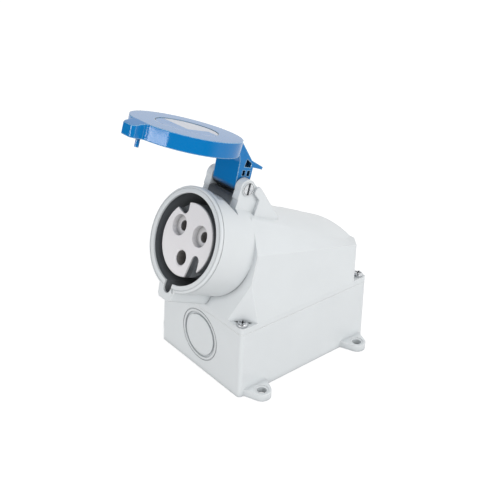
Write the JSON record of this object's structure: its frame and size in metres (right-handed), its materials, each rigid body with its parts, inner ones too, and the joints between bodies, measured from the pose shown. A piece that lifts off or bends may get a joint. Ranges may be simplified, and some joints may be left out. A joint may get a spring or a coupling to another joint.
{
  "type": "industrial wall socket",
  "caption": "Surface-mounted industrial wall socket with a slanted round barrel, keyed mouth, hinged lid and screw lugs, lying on its back with the lid open.",
  "frame": {"origin": "centre of the flat back, on the wall plane", "axes": "+Z away from the wall, -Y the way the mouth looks, X across"},
  "size_m": [0.0878, 0.1296, 0.1412],
  "materials": {
    "housing_plastic": "light grey moulded plastic, fine sheen",
    "lid_plastic": "blue moulded plastic, glossy",
    "carrier_plastic": "dark grey moulded plastic",
    "face_plastic": "white moulded plastic",
    "holder_plastic": "mid grey moulded plastic",
    "rubber_black": "black rubber",
    "zinc_steel": "zinc plated steel",
    "brass": "plain brass",
    "label_film": "pale blank film"
  },
  "bodies": {
    "housing": {"base_box": "housing_plastic", "cover": "housing_plastic", "cover_seal": "rubber_black", "cover_screws": "zinc_steel", "contact_carrier": "carrier_plastic", "socket_face": "face_plastic", "contact_holder": "holder_plastic", "earth_contact": "brass", "line_contact": "brass", "neutral_contact": "brass", "contact_springs": "zinc_steel", "terminal_screws": "zinc_steel", "wire_clamps": "zinc_steel", "holder_screw": "zinc_steel", "carrier_screws": "zinc_steel", "hinge_shroud": "carrier_plastic", "hinge_pin": "zinc_steel", "pin_retainer": "zinc_steel"},
    "lid": {"lid": "lid_plastic", "lid_gasket": "rubber_black", "lid_label": "label_film"}
  },
  "joints": [
    {"name": "lid_hinge", "type": "hinge", "parent": "housing", "child": "lid", "pos_m": [0, -0.02638, 0.1018], "axis": [1, 0, 0], "range_deg": [-25, 83]}
  ]
}
